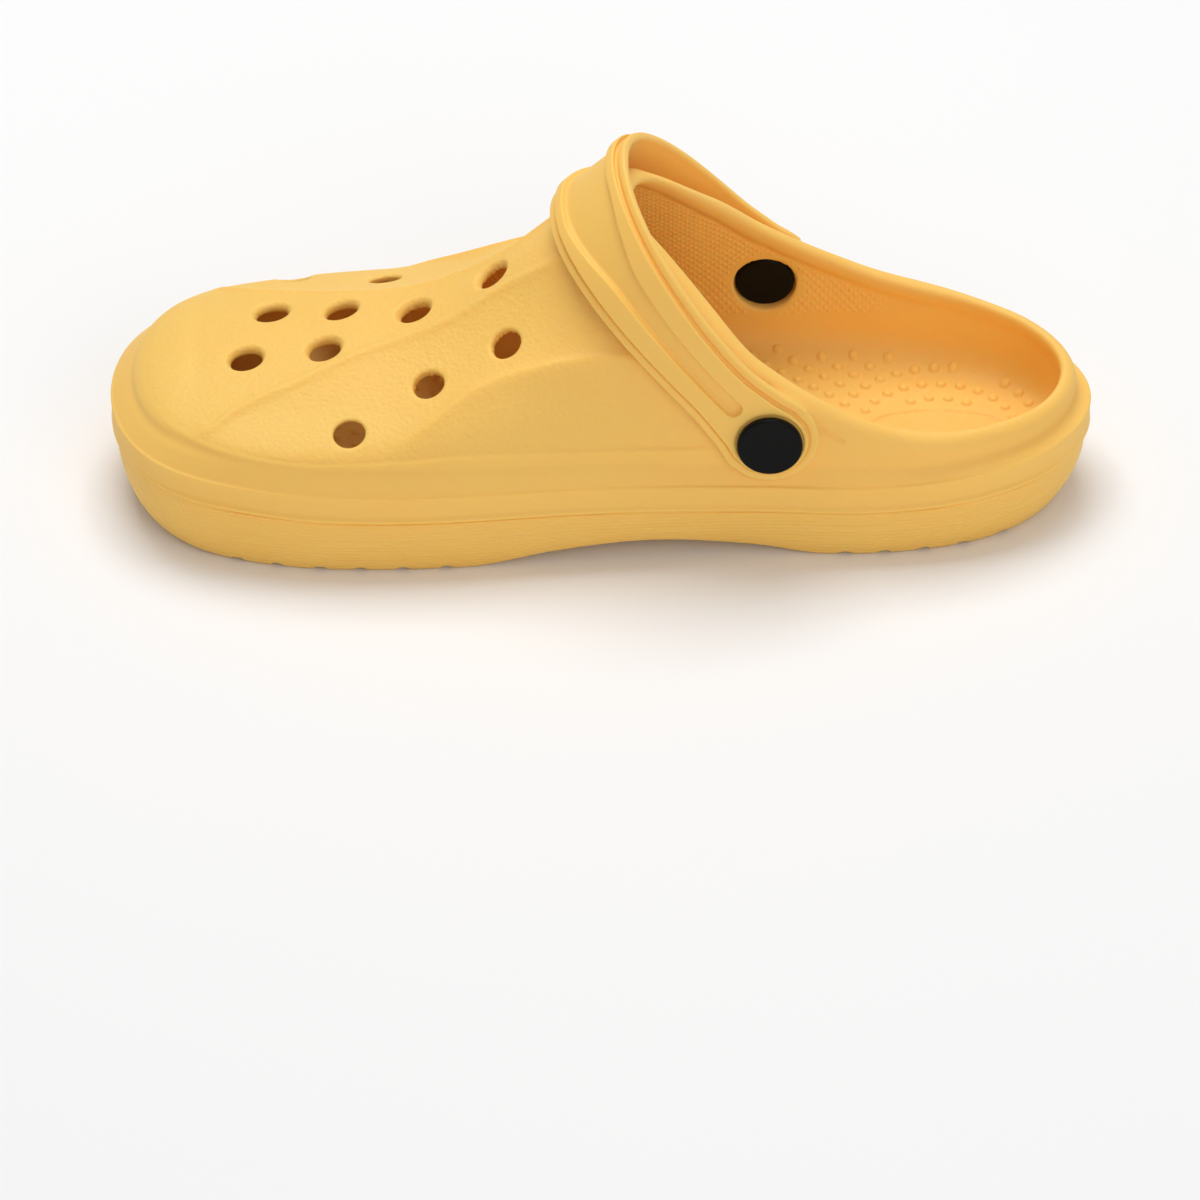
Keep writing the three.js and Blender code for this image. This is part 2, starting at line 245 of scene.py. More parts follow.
def dome(x, y, z, skin=0):
    """Signed field of the upper, carried straight down below band_top."""
    height, width, height_slope, width_slope = dome_sizes(x, y, skin)
    up = np.maximum(z - band_top(x), 0) / height
    out = np.abs(y) / width
    p = DOME_POWER
    r = (up**p + out**p + 1e-9) ** (1 / p)
    fall = r ** (1 - p)
    gz = fall * np.maximum(up, 1e-4) ** (p - 1) / height
    gy = fall * np.maximum(out, 1e-4) ** (p - 1) / width
    gx = fall * (up**p * height_slope / height + out**p * width_slope / width)
    return np.clip((r - 1) / np.sqrt(gx**2 + gy**2 + gz**2), -30, 30)


def upper_form(x, y, z, plan, skin=0):
    """The upper, drawn in by skin.

    At heel and toe, where its arch narrows to nothing, it follows the plan instead.
    """
    arch = np.maximum(dome(x, y, z, skin), plan + dome_inset(x) + skin - 0.4)
    rise = np.maximum(z - band_top(x), 0) / (crest(x) - skin - band_top(x))
    toe = TOE_LENGTH * (1 - end_round(rise, TOE_POWER))
    heel = HEEL_LENGTH * (1 - end_round(rise, HEEL_POWER))
    tip = ramp(x, 112 - skin, 126 - skin)
    back = ramp(x, -98, -116)
    ends = plan + dome_inset(x) + skin + np.where(x > 0, toe, heel)
    return arch * (1 - tip - back) + ends * (tip + back)


def height_over(x, y):
    """Height of the upper's arch over a point of the floor."""
    height, width = (float(v) for v in dome_sizes(np.array(float(x)), y, 0)[:2])
    return float(band_top(x)) + height * max(0.0, 1 - (abs(y) / width) ** DOME_POWER) ** (1 / DOME_POWER)


# ---- Collar line in side view ----------------------------------------------------------------------
collar_height = through([(-170, 36), (-150, 37), (-133, 37.6), (-120, 38.4), (-93, 41.3), (-73, 47.3),
                         (-46, 63), (-32, 76), (-20, 87), (-10, 95), (-3, 101), (4, 110), (14, 124)])
collar_slope = tabled(lambda x: np.sqrt(1 + (collar_height(x + 0.5) - collar_height(x - 0.5)) ** 2))


def above_collar(x, y, z):
    """Signed distance from the collar's line, positive above it.

    The rim is further forward and lower on the outer side: out is about y there, and about 0 on the other.
    """
    out = (y + np.sqrt(y * y + 16)) / 2
    along = x - COLLAR_FORWARD * out
    return (z + COLLAR_DOWN * out - collar_height(along)) / collar_slope(along)


# ---- Small features --------------------------------------------------------------------------------
def vent_axes():
    """Each vent's place on the upper and its direction, square to the surface there."""
    found = []
    for x, y in VENTS:
        z = height_over(x, y)
        dx = height_over(x + 0.5, y) - height_over(x - 0.5, y)
        dy = height_over(x, y + 0.5) - height_over(x, y - 0.5)
        n = np.array([-dx, -dy, 1.0])
        found.append((np.array([x, y, z]), n / np.linalg.norm(n)))
    return found


VENT_AXES = vent_axes()


def nub_places():
    """Massage nubs on arcs about the smooth oval under the heel, as far forward as the toes."""
    places = []
    radii = [15.4, 21.8, 28.2] + [33.8 + 5.2 * k for k in range(31)]
    for k, r in enumerate(radii):
        turn = (5.5 if k < 3 else 6.1) / r
        for i in range(-int(math.pi / turn), int(math.pi / turn) + 1):
            t = (i + 0.5 * (k % 2)) * turn
            x, y = HEEL[0] + r * math.cos(t), r * math.sin(t)
            if abs(t) < math.pi and abs(y) < 33 and math.hypot((x - HEEL[0]) / 21.5, y / 12.5) > 1:
                places.append((x, y))
    return np.array(places)


NUBS = nub_places()


def from_oval(x, y):
    """Distance in plan from the line round the smooth oval in the footbed, about."""
    return (np.hypot((x - HEEL[0]) / 19, y / 9.5) - 1) * 11


# ---- The clog's body -------------------------------------------------------------------------------
def wall_inset(x, z):
    """How far the side lies inside the parting line's outline at height z.

    From below: two fine lines along the sole, the parting line with its crease and bead, and the band with a
    second crease half way up.
    """
    line = parting(x)
    bottom = sole_bottom(x)
    up = np.clip((z - bottom) / (line - bottom), 0, 1)
    undercut = 1.25
    sole = undercut + (tread_inset(x) - undercut) * (1 - up) ** 3.0
    sole = sole + 0.22 * bump(z - bottom, 12 - bottom, 0.45) + 0.15 * bump(z - bottom, 8.2 - bottom, 0.45)
    u = z - line
    top = band_top(x) - line
    crease = 8.3
    ledge = 0.5 * ramp(u, crease - 0.35, crease + 0.25)
    lean = np.clip((u - crease) / (top - crease), 0, 1.3)
    band = 0.15 + ledge + (dome_inset(x) - 0.65) * lean ** 1.15
    along = 1 - 0.75 * ramp(np.abs(x), 112, 134)
    bead = 0.75 * along * bump(u, 0.85, 0.85) + 0.2 * bump(u, crease - 0.6, 0.7)
    step = ramp(u, -0.45, 0.15)
    return sole * (1 - step) + (band - bead) * step + 0.8 * bump(u, -0.5, 0.5)


def channel_depth(x, y, z):
    """Depth of the hollow along each side of the vamp, which has a crisp edge on both sides."""
    v = np.abs(y)
    inner, outer = ridge_in(x), ridge_out(x)
    t = (v - inner) / np.maximum(outer - inner, 6)
    hollow = soft_max(4 * t * (1 - t), 0 * t, 0.12)
    return 3.0 * hollow * ramp(x, 116, 97) * ramp(z - grain_edge(x), 0, 9) * ramp(x, -48, -20)


def upper_detail(x, y, z):
    """How far the upper's outer surface is drawn in (positive) or stands out (negative)."""
    v = np.abs(y)
    ridge = 0.6 * bump(v, ridge_in(x) - 0.6, 1.6) * ramp(x, 116, 105) * ramp(x, -10, 10)
    panel = 0.6 * bump(v, ridge_out(x) + 0.8, 2.1) * ramp(x, 57, 44) * ramp(x, -50, -20)
    edge = grain_edge(x)
    away = ramp(x, -36, -22)
    toe = 1 - 0.6 * ramp(x, 90, 125)
    recess = 0.4 * ramp(z, edge + 0.1, edge + 0.9) * away * toe
    bead = 0.35 * bump(z, edge - 0.2, 0.7) * away * toe
    return recess - bead - ridge - panel


def floor_height(x, y):
    """Height of the footbed, which rises towards its sides."""
    return footbed(x) + 3.2 * (np.abs(y) / 40) ** 3


def outer_field(x, y, z, channel):
    """The solid outer form, before the foot's room is taken out of it.

    The rolled edge is lower on the outer side behind the boss, where the strap's arm swings past it.
    """
    plan = outline(x, y)
    top = band_top(x)
    side = plan + wall_inset(x, z)
    upper = upper_form(x, y, z, plan) + channel
    share = ramp(z, top - 2.5, top + 1.5)
    form = side * (1 - share) + upper * share
    collar = above_collar(x, y, z)
    worn = 0.85 * ramp(y, 25, 35) * ramp(x, -57, -64) * ramp(x, -88, -79)
    form = form + upper_detail(x, y, z) * ramp(z, top - 6, top - 3) - 1.25 * lip(x, collar) * (1 - worn)
    crack = segment(x, z, (-59, 43.6), (-66.5, 39.4))
    form = form + 0.9 * bump(crack, 0, 0.6)
    return soft_max(form, sole_bottom(x) - z, 1.6)


def lip(x, collar):
    """Where the rolled edge of the opening stands out: 1 on its crown, 0 below it."""
    return ramp(collar, -6.6, -3.6) * ramp(x, 4, -8) * (1 - 0.6 * ramp(x, -88, -108))


def segment(x, z, a, b):
    """Distance in side view to the line from a to b."""
    dx, dz = b[0] - a[0], b[1] - a[1]
    t = np.clip(((x - a[0]) * dx + (z - a[1]) * dz) / (dx * dx + dz * dz), 0, 1)
    return np.hypot(x - a[0] - t * dx, z - a[1] - t * dz)


def body_field(x, y, z):
    """The clog's body with all its openings, without nubs and knurl."""
    channel = channel_depth(x, y, z)
    outer = outer_field(x, y, z, channel)
    radius = np.hypot(x - PIVOT_X, z - PIVOT_Z)
    beside = radius < 20

    pad = np.maximum(soft_max(radius - 13.0, np.abs(y) - SEAT_Y, 0.8), 28 - np.abs(y))
    seat = np.maximum(radius - BOSS_RADIUS - 0.5, SEAT_Y - np.abs(y))
    outer = np.where(beside, soft_max(soft_min(outer, pad, 2.0), -seat, 0.7), outer)

    collar = above_collar(x, y, z)
    plan = outline(x, y)
    room = upper_form(x, y, z, plan, WALL) + channel + 1.1 * lip(x, collar)
    bed = floor_height(x, y) - z
    room = soft_max(room, bed, 9)
    room = room - 0.6 * bump(from_oval(x, y), 0, 0.55) * bump(bed, 0, 3)
    shell = soft_max(outer, -room, 0.8)
    shell = soft_max(shell, collar, 3.4)

    depth = (np.abs(y) - CAP_SEAT) * math.cos(CAP_TILT) + (z - PIVOT_Z) * math.sin(CAP_TILT)
    height = (z - PIVOT_Z) * math.cos(CAP_TILT) - (np.abs(y) - CAP_SEAT) * math.sin(CAP_TILT)
    around = np.hypot(x - PIVOT_X, height)
    recess = np.maximum(np.maximum(around - INNER_DISC - 0.45, depth), 20 - np.abs(y))
    bore = np.maximum(radius - 3.8, 30 - np.abs(y))
    shell = np.where(beside, soft_max(soft_max(shell, -recess, 0.5), -bore, 0.3), shell)

    for mouth, axis in VENT_AXES:
        near = np.nonzero((np.abs(x - mouth[0]) < 16) & (np.abs(y - mouth[1]) < 16) & (z > mouth[2] - 17))
        dx, dy, dz = x[near] - mouth[0], y[near] - mouth[1], z[near] - mouth[2]
        along = dx * axis[0] + dy * axis[1] + dz * axis[2]
        out = np.sqrt(np.maximum(dx * dx + dy * dy + dz * dz - along**2, 0))
        flare = out - VENT_RADIUS - VENT_FLARE * ramp(along, -2.4, -0.6)
        shell[near] = soft_max(shell[near], -np.maximum(flare, np.abs(along) - 13), 1.2)

    for at in TREAD:
        near = np.nonzero((np.abs(x - at) < 4) & (z < 6))
        sides = np.abs(x[near] - at) - TREAD_HALF - 0.3 * (TREAD_DEPTH - z[near])
        groove = np.maximum(sides, z[near] - TREAD_DEPTH)
        shell[near] = soft_max(shell[near], -groove, 0.5)
    return shell


def nub_lift(x, y):
    """Height of the massage nubs over a point of the footbed."""
    d = nub_distance(x, y)
    return NUB_HEIGHT * np.sqrt(np.clip(1 - (d / NUB_RADIUS) ** 2, 0, 1)) ** 1.2


def nub_distance(x, y):
    """Distance in plan to the nearest nub, up to NUB_REACH."""
    nearest = np.full(len(x), NUB_REACH)
    order = np.argsort(x)
    sorted_x = x[order]
    keep = half_width(NUBS[:, 0], NUBS[:, 1], 11.5)
    for px, py in NUBS[np.abs(NUBS[:, 1]) < keep]:
        first, last = np.searchsorted(sorted_x, (px - NUB_REACH, px + NUB_REACH))
        near = order[first:last]
        near = near[np.abs(y[near] - py) < NUB_REACH]
        nearest[near] = np.minimum(nearest[near], np.hypot(x[near] - px, y[near] - py))
    return nearest


# ---- Meshing ---------------------------------------------------------------------------------------
FIELD_REACH = 3.0  # a grid holds distances up to this
COARSE = 4  # a field is first sampled at every fourth grid point, and fully only near its surface
BATCH = 400000


def gradient(field, p, step=0.05):
    """Slope of the field at each point."""
    g = []
    for axis in range(3):
        d = np.zeros(3)
        d[axis] = step
        g.append((field(*(p + d).T) - field(*(p - d).T)) / (2 * step))
    return np.stack(g, 1)


def onto_surface(field, p, rounds=3, most=0.5):
    """Draws points onto the field's zero surface."""
    for _ in range(rounds):
        f = field(*p.T)
        g = gradient(field, p)
        size = np.maximum((g**2).sum(1), 0.05)
        move = -(f / size)[:, None] * g
        length = np.linalg.norm(move, axis=1, keepdims=True)
        p = p + move * np.minimum(1, most / np.maximum(length, 1e-9))
    return p


def meshed(field, xs, ys, rows, to_world):
    """Mesh of a field sampled at xs by ys by rows, where to_world carries a grid point to its place."""
    coarse = [np.unique(np.append(np.arange(0, len(axis), COARSE), len(axis) - 1)) for axis in (xs, ys, rows)]
    near = np.meshgrid(xs[coarse[0]], ys[coarse[1]], rows[coarse[2]], indexing="ij")
    values = field(*to_world(*(a.ravel() for a in near))).reshape(near[0].shape)
    for axis, picked in enumerate(coarse):
        at = np.arange(picked[-1] + 1)
        left = np.clip(np.searchsorted(picked, at, side="right") - 1, 0, len(picked) - 2)
        share = ((at - picked[left]) / (picked[left + 1] - picked[left])).astype(np.float32)
        share = share.reshape([-1 if k == axis else 1 for k in range(3)])
        values = np.take(values, left, axis) * (1 - share) + np.take(values, left + 1, axis) * share
    values = values.astype(np.float32)
    where = np.nonzero(np.abs(values) < 5.5 * (xs[1] - xs[0]))
    for i in range(0, len(where[0]), BATCH):
        part = tuple(w[i:i + BATCH] for w in where)
        values[part] = field(*to_world(xs[part[0]], ys[part[1]], rows[part[2]]))
    grid = openvdb.FloatGrid(FIELD_REACH)
    grid.copyFromArray(np.clip(values, -FIELD_REACH, FIELD_REACH))
    points, quads = grid.convertToQuads(isovalue=0.0)
    u = np.interp(points[:, 0], np.arange(len(xs)), xs)
    v = np.interp(points[:, 1], np.arange(len(ys)), ys)
    w = np.interp(points[:, 2], np.arange(len(rows)), rows)
    world = np.stack(to_world(u, v, w), 1)
    return onto_surface(field, world), np.asarray(quads)


def build(name, points, corners, counts, masks=None):
    """Mesh object from points in mm and faces given as one run of corners with a count for each face."""
    mesh = bpy.data.meshes.new(name)
    mesh.vertices.add(len(points))
    mesh.vertices.foreach_set("co", (points * MM).astype(np.float32).ravel())
    mesh.loops.add(len(corners))
    mesh.loops.foreach_set("vertex_index", corners.astype(np.int32))
    mesh.polygons.add(len(counts))
    mesh.polygons.foreach_set("loop_start", (np.cumsum(counts) - counts).astype(np.int32))
    mesh.update(calc_edges=True)
    mesh.validate()
    mesh.polygons.foreach_set("use_smooth", np.ones(len(mesh.polygons), bool))
    for key, values in (masks or {}).items():
        layer = mesh.attributes.new(key, "FLOAT", "POINT")
        layer.data.foreach_set("value", values.astype(np.float32))
    mesh.update()
    obj = bpy.data.objects.new(name, mesh)
    bpy.context.scene.collection.objects.link(obj)
    return obj


def as_corners(quads):
    """Four-sided faces as one run of corners with a count for each face."""
    return quads.ravel(), np.full(len(quads), 4)


def refined(points, corners, counts, wanted):
    """Splits the faces around the wanted points into a quad per corner. Their neighbours stay joined."""
    face = np.repeat(np.arange(len(counts)), counts)
    start = np.cumsum(counts) - counts
    following = np.arange(len(corners)) + 1
    following[start + counts - 1] = start
    preceding = np.arange(len(corners)) - 1
    preceding[start] = start + counts - 1
    ends = np.stack([corners, corners[following]], 1)
    key = ends.min(1) * len(points) + ends.max(1)
    edges, edge = np.unique(key, return_inverse=True)
    split_face = np.bincount(face, wanted[corners], len(counts)) >= 2
    split_edge = np.zeros(len(edges), bool)
    split_edge[edge[split_face[face]]] = True
    a, b = edges // len(points), edges % len(points)
    middle = np.full(len(edges), -1)
    middle[split_edge] = len(points) + np.arange(split_edge.sum())
    centre = np.full(len(counts), -1)
    centre[split_face] = len(points) + split_edge.sum() + np.arange(split_face.sum())
    sums = np.stack([np.bincount(face, points[corners, k], len(counts)) for k in range(3)], 1)
    centres = sums / counts[:, None]
    new = np.vstack([points, (points[a[split_edge]] + points[b[split_edge]]) / 2, centres[split_face]])

    inner = np.nonzero(split_face[face])[0]
    quads = np.stack([corners[inner], middle[edge[inner]], centre[face[inner]],
                      middle[edge[preceding[inner]]]], 1)
    rest = np.nonzero(~split_face[face])[0]
    extra = split_edge[edge[rest]]
    size = 1 + extra
    place = np.cumsum(size) - size
    run = np.empty(size.sum(), np.int64)
    run[place] = corners[rest]
    run[place[extra] + 1] = middle[edge[rest[extra]]]
    rest_counts = np.bincount(face[rest], size, len(counts)).astype(np.int64)[~split_face]
    new_corners = np.concatenate([quads.ravel(), run])
    new_counts = np.concatenate([np.full(len(quads), 4), rest_counts])
    return new, new_corners, new_counts


def largest_part(points, faces):
    """Keeps the biggest connected part of a mesh."""
    label = np.arange(len(points))
    while True:
        low = label[faces].min(1)
        new = label.copy()
        for c in range(faces.shape[1]):
            np.minimum.at(new, faces[:, c], low)
        new = new[new]
        if (new == label).all():
            break
        label = new
    root = np.bincount(label[faces[:, 0]]).argmax()
    faces = faces[label[faces[:, 0]] == root]
    used = np.unique(faces)
    index = np.full(len(points), -1)
    index[used] = np.arange(len(used))
    return points[used], index[faces]


STEP = 0.9  # spacing of the body's grid


def body_rows():
    """Heights of the grid's rows over the parting line, closer together where the side's fine lines run."""
    rows = [-20.8]
    while rows[-1] < 84:
        z = rows[-1]
        fine = np.exp(-((z + 0.1) / 2.2) ** 2) + np.exp(-((z - 8.3) / 1.5) ** 2)
        rows.append(z + STEP * (1 - 0.62 * min(1.0, fine)))
    return np.array(rows)


def body_to_world(x, y, r):
    """Rows follow the parting line low down and level out above the band."""
    follow = parting(x) * ramp(r, 40, 14) + 18.5 * ramp(r, 14, 40)
    return x, y, r + follow


def lined(points):
    """Points near a crisp edge, a fine line, a nub or the knurled walls."""
    x, y, z = points.T
    v = np.abs(y)
    u = z - parting(x)
    edge = grain_edge(x)
    inside = inside_share(x, y, z) > 0.5
    outer = ~inside
    near = outer & (np.abs(u) < 1.9)
    near |= outer & (np.abs(u - 8.0) < 1.3)
    near |= outer & (np.abs(z - edge) < 1.8) & (x > -38)
    near |= outer & (z > edge) & (x > -48) & (x < 114) & (np.abs(v - ridge_in(x)) < 2.2)
    near |= outer & (z > edge) & (x > -48) & (x < 58) & (np.abs(v - ridge_out(x)) < 2.2)
    near |= np.abs(above_collar(x, y, z)) < 3
    for mouth, axis in VENT_AXES:
        near |= (np.linalg.norm(points - mouth, axis=1) < 9) & outer
    bed = inside & (z < floor_height(x, y) + 3.5)
    near |= bed & (nub_distance(x, y) < 2.2)
    near |= bed & (np.abs(from_oval(x, y)) < 1.5)
    near |= inside & (knurl_share(points) > 0.02)
    return near


def inside_share(x, y, z):
    """1 within the foot's room, 0 on the outer surface."""
    within = ramp(dome(x, y, z, WALL / 2) + channel_depth(x, y, z), 0.6, -0.6)
    return within * ramp(z, footbed(x) - 1.5, footbed(x) + 0.5)


def knurl_share(points):
    """1 where the inner walls are knurled: below the rim, clear of the footbed, the heel and the rivet."""
    x, y, z = points.T
    collar = above_collar(x, y, z)
    return (inside_share(x, y, z) * ramp(collar, -5.5, -8.0) * ramp(z, 30, 33) * ramp(x, -84, -76)
            * ramp(x, 60, 50) * ramp(np.hypot(x - PIVOT_X, z - PIVOT_Z), 10.2, 11.2))


def knurl(points):
    """Height of the small raised pips in staggered rows."""
    x, y, z = points.T
    s = 0.85 * (z - np.abs(y))
    wave = np.cos(x * 2 * math.pi / KNURL_PITCH) * np.cos(s * 2 * math.pi / KNURL_PITCH)
    return KNURL_HEIGHT * np.clip(wave, 0, 1)


def make_body():
    """The body's mesh, with masks that tell the material where its grain, knurl and sole lines are."""
    xs = np.arange(body_lo[0] - 2.4, body_hi[0] + 2.5, STEP)
    ys = np.arange(body_lo[1] - 2.4, body_hi[1] + 2.5, STEP)
    points, quads = meshed(body_field, xs, ys, body_rows(), body_to_world)
    points, quads = largest_part(points, quads)
    corners, counts = as_corners(quads)
    # The mesh is twice as fine around its lines and edges, and four times on the nubs and the knurl.
    old = len(points)
    points, corners, counts = refined(points, corners, counts, lined(points))
    points[old:] = onto_surface(body_field, points[old:])
    x, y, z = points.T
    pips = (inside_share(x, y, z) > 0.5) & (z < floor_height(x, y) + 3.5) & (nub_distance(x, y) < 1.7)
    pips |= (knurl_share(points) > 0.02)
    old = len(points)
    points, corners, counts = refined(points, corners, counts, pips)
    points[old:] = onto_surface(body_field, points[old:], rounds=2)
    x, y, z = points.T
    normal = gradient(body_field, points)
    normal /= np.maximum(np.linalg.norm(normal, axis=1, keepdims=True), 1e-6)
    over_floor = z - floor_height(x, y)
    inside = inside_share(x, y, z)
    bed = inside * ramp(np.abs(over_floor), 4.2, 3.0) * ramp(normal[:, 2], 0.6, 0.78)
    pips = knurl_share(points)
    lift = np.stack([0 * x, 0 * x, bed * nub_lift(x, y)], 1)
    points = points + lift + normal * (pips * knurl(points))[:, None]
    collar = above_collar(x, y, z)
    edge = grain_edge(x)
    outside = 1 - inside
    grain = outside * ramp(z, edge, edge + 1.2) * ramp(x, -44, -28) * ramp(collar, -2.5, -6.0)
    sole = outside * ramp(z, parting(x) - 0.1, parting(x) - 0.9)
    return build("body_foam", points, corners, counts, {"grain": grain, "knurl": pips, "sole": sole})


# ---- Heel strap ------------------------------------------------------------------------------------
def arch_line():
    """Middle of the band as points (across, reach), from the lateral boss over the top to the medial one."""
    mid = STRAP_INNER + STRAP_THICK / 2
    t = np.linspace(0, math.pi, 721)
    c, s = np.cos(t), np.maximum(np.sin(t), 0)
    across = mid * np.sign(c) * np.abs(c) ** (2 / ARCH_POWER)
    reach = ARM_STRAIGHT + (STRAP_REACH - ARM_STRAIGHT) * s ** (2 / ARCH_POWER)
    arm = np.linspace(-20, ARM_STRAIGHT - 0.3, 80)
    return np.vstack([np.stack([np.full(80, mid), arm], 1), np.stack([across, reach], 1),
                      np.stack([np.full(80, -mid), arm[::-1]], 1)])


ARCH = arch_line()
strap_width = through([(0, 27), (11, 23.6), (20, 21.6), (33, 21.9), (48, 23.6), (62, 25.6), (74, 28)])
groove_width = through([(0, 5), (35, 5), (50, 6), (60, 7.5), (68, 12), (74, 16)])


def off_arch(u, v):
    """Signed distance outward from the band's middle surface."""
    out = np.empty(len(u))
    a, b = ARCH[:-1], ARCH[1:]
    d = b - a
    size = (d**2).sum(1)
    for i in range(0, len(u), 20000):
        p = np.stack([u[i:i + 20000], v[i:i + 20000]], 1)[:, None]
        t = np.clip(((p - a) * d).sum(2) / size, 0, 1)
        gap = p - (a + t[..., None] * d)
        dist2 = (gap**2).sum(2)
        k = dist2.argmin(1)
        j = np.arange(len(k))
        cross = d[k, 0] * gap[j, k, 1] - d[k, 1] * gap[j, k, 0]
        out[i:i + 20000] = np.sqrt(dist2[j, k]) * -np.sign(cross)
    return out


ARCH_STEP = 0.5
ARCH_U = np.arange(-54, 54.1, ARCH_STEP)
ARCH_V = np.arange(-24, 90.1, ARCH_STEP)
ARCH_GRID = np.meshgrid(ARCH_U, ARCH_V, indexing="ij")
ARCH_TABLE = off_arch(ARCH_GRID[0].ravel(), ARCH_GRID[1].ravel()).reshape(len(ARCH_U), len(ARCH_V))


def above_arch(u, v):
    """off_arch read from a table."""
    fu = np.clip((u - ARCH_U[0]) / ARCH_STEP, 0, len(ARCH_U) - 1.001)
    fv = np.clip((v - ARCH_V[0]) / ARCH_STEP, 0, len(ARCH_V) - 1.001)
    i, j = fu.astype(int), fv.astype(int)
    a, b = fu - i, fv - j
    t = ARCH_TABLE
    return (t[i, j] * (1 - a) + t[i + 1, j] * a) * (1 - b) + (t[i, j + 1] * (1 - a) + t[i + 1, j + 1] * a) * b


def strap_shape(s, v):
    """Signed distance from the strap's outline, with the band laid out flat."""
    boss = np.hypot(s, v) - BOSS_RADIUS
    arm = np.maximum(np.abs(s) - strap_width(v) / 2, -v)
    return np.where(v < 0, boss, soft_min(arm, boss, 1.5))


def strap_slot(s, v):
    """Signed distance from the outline of the groove along the band's middle."""
    return np.hypot(np.maximum(np.abs(s) - groove_width(v) / 2 + 2.3, 0), np.maximum(15.0 - v, 0)) - 2.3


def strap_field(s, u, v):
    """s across the band, u along the hinge axis, v away from the hinge."""
    n = above_arch(u, v)
    t = STRAP_THICK / 2
    shape = strap_shape(s, v)
    flange = soft_max(shape, np.maximum(n - t + FLANGE_DROP, -n - t), 0.9)
    raised = soft_max(shape + FLANGE, np.abs(n) - t, 0.6)
    band = soft_min(flange, raised, 0.25)
    band = soft_max(band, 0.6 - np.hypot(shape + FLANGE - 0.2, n - t + FLANGE_DROP - 0.1), 0.3)
    cut = soft_max(strap_slot(s, v), t - GROOVE_DEPTH - n, 1.2)
    band = soft_max(band, -cut, 0.5)
    radius = np.hypot(s, v)
    well = np.maximum(radius - DISC - 0.4, t - 0.55 - n)
    band = np.where(v < 20, soft_max(band, -well, 0.4), band)
    return soft_max(band, 4.9 - radius, 0.4)


def strap_to_world(points):
    """Carries the strap from its own directions to its folded place over the instep."""
    s, u, v = points.T
    c, k = math.cos(STRAP_LEAN), math.sin(STRAP_LEAN)
    return np.stack([PIVOT_X + s * c + v * k, u, PIVOT_Z - s * k + v * c], 1)


def make_strap():
    """The strap's mesh, finer along its edges and its groove."""
    step = STEP * 0.62
    xs = np.arange(-17.5, 17.6, step)
    ys = np.arange(-STRAP_OUTER - 1.5, STRAP_OUTER + 1.6, step)
    rows = np.arange(-15.5, STRAP_REACH + 4, step)
    points, quads = meshed(strap_field, xs, ys, rows, lambda a, b, c: (a, b, c))
    points, quads = largest_part(points, quads)
    corners, counts = as_corners(quads)
    s, u, v = points.T
    shape = strap_shape(s, v)
    edges = (np.abs(shape + FLANGE) < 1.3) | (np.abs(strap_slot(s, v)) < 1.3) | (shape > -0.9)
    edges &= above_arch(u, v) > -0.5
    old = len(points)
    points, corners, counts = refined(points, corners, counts, edges)
    points[old:] = onto_surface(strap_field, points[old:])
    return build("strap_foam", strap_to_world(points), corners, counts)


# ---- Rivets ----------------------------------------------------------------------------------------
def turned(name, profile, side, segments=96, tilt=0.0):
    """Lathe of (radius, distance from the middle plane) about the hinge axis.

    The profile starts and ends on the axis, and tilt leans what lies inside the wall.
    """
    profile = np.array(profile)
    if side * (profile[-1, 1] - profile[0, 1]) < 0:
        profile = profile[::-1]
    angle = np.arange(segments) * 2 * math.pi / segments
    points = np.vstack([np.stack([PIVOT_X + r * np.cos(angle), np.full(segments, side * h),
                                  PIVOT_Z + r * np.sin(angle)], 1) for r, h in profile])
    lean = np.repeat(np.where(profile[:, 1] < CAP_SEAT, tilt, 0.0), segments)
    out, up = points[:, 1] - side * CAP_SEAT, points[:, 2] - PIVOT_Z
    points[:, 1] = side * CAP_SEAT + out * np.cos(lean) - side * up * np.sin(lean)
    points[:, 2] = PIVOT_Z + up * np.cos(lean) + side * out * np.sin(lean)
    points = points[segments - 1:len(points) - segments + 1]
    end = len(points) - 1
    i = np.arange(segments)
    j = (i + 1) % segments
    ring = 1 + segments * np.arange(len(profile) - 2)[:, None]
    quads = np.stack([ring[:-1] + i, ring[1:] + i, ring[1:] + j, ring[:-1] + j], 2).reshape(-1, 4)
    fans = np.vstack([np.stack([0 * i, 1 + i, 1 + j], 1),
                      np.stack([ring[-1] + i, 0 * i + end, ring[-1] + j], 1)])
    corners = np.concatenate([quads.ravel(), fans.ravel()])
    counts = np.repeat([4, 3], [len(quads), len(fans)])
    return build(name, points, corners, counts)


def disc_profile(face, root, radius, turn):
    """Slightly dished disc with a rounded rim, from the middle of its face to its shank."""
    t = np.linspace(0, math.pi / 2, 9)
    rim = 0.8
    edge = [(radius - rim + rim * math.sin(a), face - turn * rim * (1 - math.cos(a))) for a in t]
    middle = [(r, face - turn * 0.22 * math.cos(r / (radius - rim) * math.pi / 2)) for r in
              np.linspace(0, radius - rim, 12)[:-1]]
    return middle + edge + [(radius, root + turn * 0.15), (radius - 0.15, root)]


